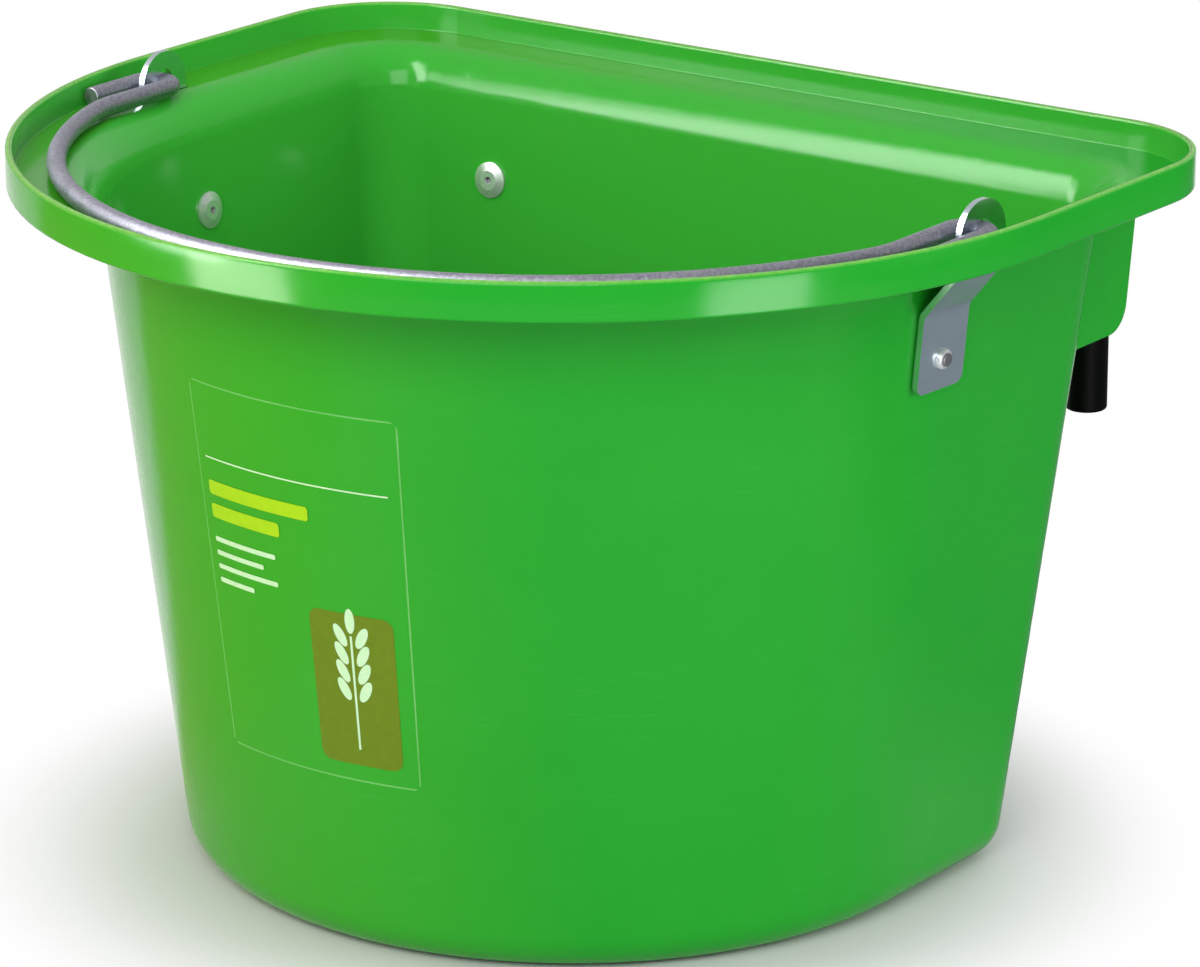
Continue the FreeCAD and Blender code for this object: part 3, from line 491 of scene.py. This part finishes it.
# Painted shade: the paper turns a dimmer grey at the right rear, for rays the camera doesn't see.
corner = add(tree, "ShaderNodeMath", {0: come_in["dim rear"], 1: come_in["dim right"]}, operation="MULTIPLY")
painted_shade = add(tree, "ShaderNodeMath", {0: corner.outputs[0], 1: unseen.outputs[0]}, operation="MULTIPLY")
paper = add(tree, "ShaderNodeMix", {"Factor": painted_shade.outputs[0], "A": paper.outputs["Result"]},
            {"B": srgb("#82888E")}, data_type="RGBA")
lead(tree, skin, {"Base Color": paper.outputs["Result"]})

# White for the camera past the shadow, and for reflections from the left rear.
away = add(tree, "ShaderNodeVectorMath", {"Vector": place}, operation="LENGTH")
past_shadow = add(tree, "ShaderNodeMapRange", {"Value": away.outputs["Value"]},
                  {"From Min": SHADOW_KEPT, "From Max": SHADOW_GONE}, interpolation_type="SMOOTHSTEP")
shown = add(tree, "ShaderNodeMath", {0: seen.outputs[0], 1: past_shadow.outputs["Result"]},
            operation="MULTIPLY")
cove = add(tree, "ShaderNodeMath", {0: come_in["white rear"], 1: come_in["white left"]}, operation="MULTIPLY")
mirrored = add(tree, "ShaderNodeMath", {0: ray.outputs["Is Glossy Ray"], 1: cove.outputs[0]},
               operation="MULTIPLY")
whitened = add(tree, "ShaderNodeMath", {0: shown.outputs[0], 1: mirrored.outputs[0]}, operation="MAXIMUM")
white = add(tree, "ShaderNodeEmission", values={"Color": srgb("#FFFFFF"), "Strength": 1.0})
both = add(tree, "ShaderNodeMixShader",
           {0: whitened.outputs[0], 1: skin.outputs["BSDF"], 2: white.outputs["Emission"]})
tree.links.new(both.outputs["Shader"], tree.nodes["Material Output"].inputs["Surface"])
floor_mesh.materials.append(floor_white)

# Studio light.
# A white surround that is brighter behind the manger than in front of it for reflections, softboxes
# that light it, and cards that only show in its gloss.
SURROUND_BEHIND = (-0.596, 0.803, 0.0)
BEHIND_FROM, BEHIND_TO = -0.35, 0.3
SURROUND_LIGHT, SURROUND_SEEN = 0.46, 1.0
MIRRORED_FRONT, MIRRORED_BEHIND = 0.25, 0.6
sky = bpy.data.worlds.new("studio_sky")
bpy.context.scene.world = sky
sky.use_nodes = True
tree = sky.node_tree
ray = add(tree, "ShaderNodeLightPath")
seen = add(tree, "ShaderNodeMath", {0: ray.outputs["Is Camera Ray"], 1: ray.outputs["Is Transmission Ray"]},
           operation="MAXIMUM")
way = add(tree, "ShaderNodeTexCoord").outputs["Generated"]
behind = add(tree, "ShaderNodeVectorMath", {0: way}, {1: SURROUND_BEHIND}, operation="DOT_PRODUCT")
cove = add(tree, "ShaderNodeMapRange", {"Value": behind.outputs["Value"]},
           {"From Min": BEHIND_FROM, "From Max": BEHIND_TO,
            "To Min": MIRRORED_FRONT, "To Max": MIRRORED_BEHIND}, interpolation_type="SMOOTHSTEP")
unseen = add(tree, "ShaderNodeMix", {"Factor": ray.outputs["Is Glossy Ray"], "B": cove.outputs["Result"]},
             {"A": SURROUND_LIGHT}, data_type="FLOAT")
level = add(tree, "ShaderNodeMix", {"Factor": seen.outputs[0], "A": unseen.outputs["Result"]},
            {"B": SURROUND_SEEN}, data_type="FLOAT")
tree.links.new(level.outputs["Result"], tree.nodes["Background"].inputs["Strength"])
tree.nodes["Background"].inputs["Color"].default_value = srgb("#FFFFFF")

for name, spot, aim, width, height, watts, tint, lights, mirrors in (
    ("softbox_key", (-0.70, -0.78, 0.66), (0.03, 0.1, 0.25), 0.5, 0.62, 3.0, "#FFEBCB", True, False),
    ("softbox_front", (0.55, -1.4, 1.05), (0.0, 0.05, 0.15), 1.2, 0.9, 18.8, "#FFFFFF", True, True),
    ("softbox_over", (-0.1, -0.1, 1.7), (0.0, 0.0, 0.15), 1.2, 0.9, 4.5, "#FFFFFF", True, False),
    ("softbox_back", (-0.5, 1.5, 0.7), (0.0, 0.1, 0.12), 1.0, 0.8, 5.0, "#FFFFFF", True, False),
    ("softbox_side", (1.2, 0.45, 0.4), (0.1, 0.08, 0.2), 0.5, 0.5, 6.2, "#FFFFFF", True, False),
    ("card_key", (-0.555, -0.744, 0.76), (0.095, 0.046, 0.25), 0.33, 1.25, 22.0, "#FFFFFF", False, True),
    ("card_key_faint", (-0.728, -0.6, 0.76), (-0.078, 0.19, 0.25), 0.12, 1.25, 3.0, "#FFFFFF", False, True),
    ("card_left", (-0.31, -0.72, 0.18), (-0.07, -0.18, 0.25), 0.28, 0.28, 4.4, "#FFFAF0", False, True),
    ("card_right", (0.70, -0.26, 0.16), (0.17, -0.08, 0.25), 0.24, 0.26, 2.1, "#FFFFFF", False, True),
):
    lamp = bpy.data.lights.new(name, "AREA")
    lamp.shape, lamp.size, lamp.size_y, lamp.energy = "RECTANGLE", width, height, watts
    lamp.color = srgb(tint)[:3]
    held = bpy.data.objects.new(name, lamp)
    held.location = spot
    held.rotation_euler = (Vector(aim) - Vector(spot)).to_track_quat("-Z", "Y").to_euler()
    held.visible_camera, held.visible_diffuse, held.visible_glossy = False, lights, mirrors
    bpy.context.scene.collection.objects.link(held)

# Camera.
# It stands where the photograph was taken from, well back with a long lens, to the right of the round
# front, and looks down a little into the bowl.
CAMERA_SPOT = (1.14869, -1.52052, 0.74149)
CAMERA_AHEAD, CAMERA_UPWARD = Vector((-0.56985, 0.76306, -0.30498)), Vector((-0.18008, 0.24615, 0.95236))
lens = bpy.data.cameras.new("photo_camera")
lens.sensor_width, lens.lens = 36.0, 169.38
lens.clip_start, lens.clip_end = 0.05, 30.0
camera = bpy.data.objects.new("photo_camera", lens)
camera.location = CAMERA_SPOT
camera_turn = Matrix((CAMERA_AHEAD.cross(CAMERA_UPWARD), CAMERA_UPWARD, -CAMERA_AHEAD)).transposed()
camera.rotation_euler = camera_turn.to_euler()
bpy.context.scene.collection.objects.link(camera)
bpy.context.scene.camera = camera
bpy.context.scene.view_settings.view_transform = "Standard"
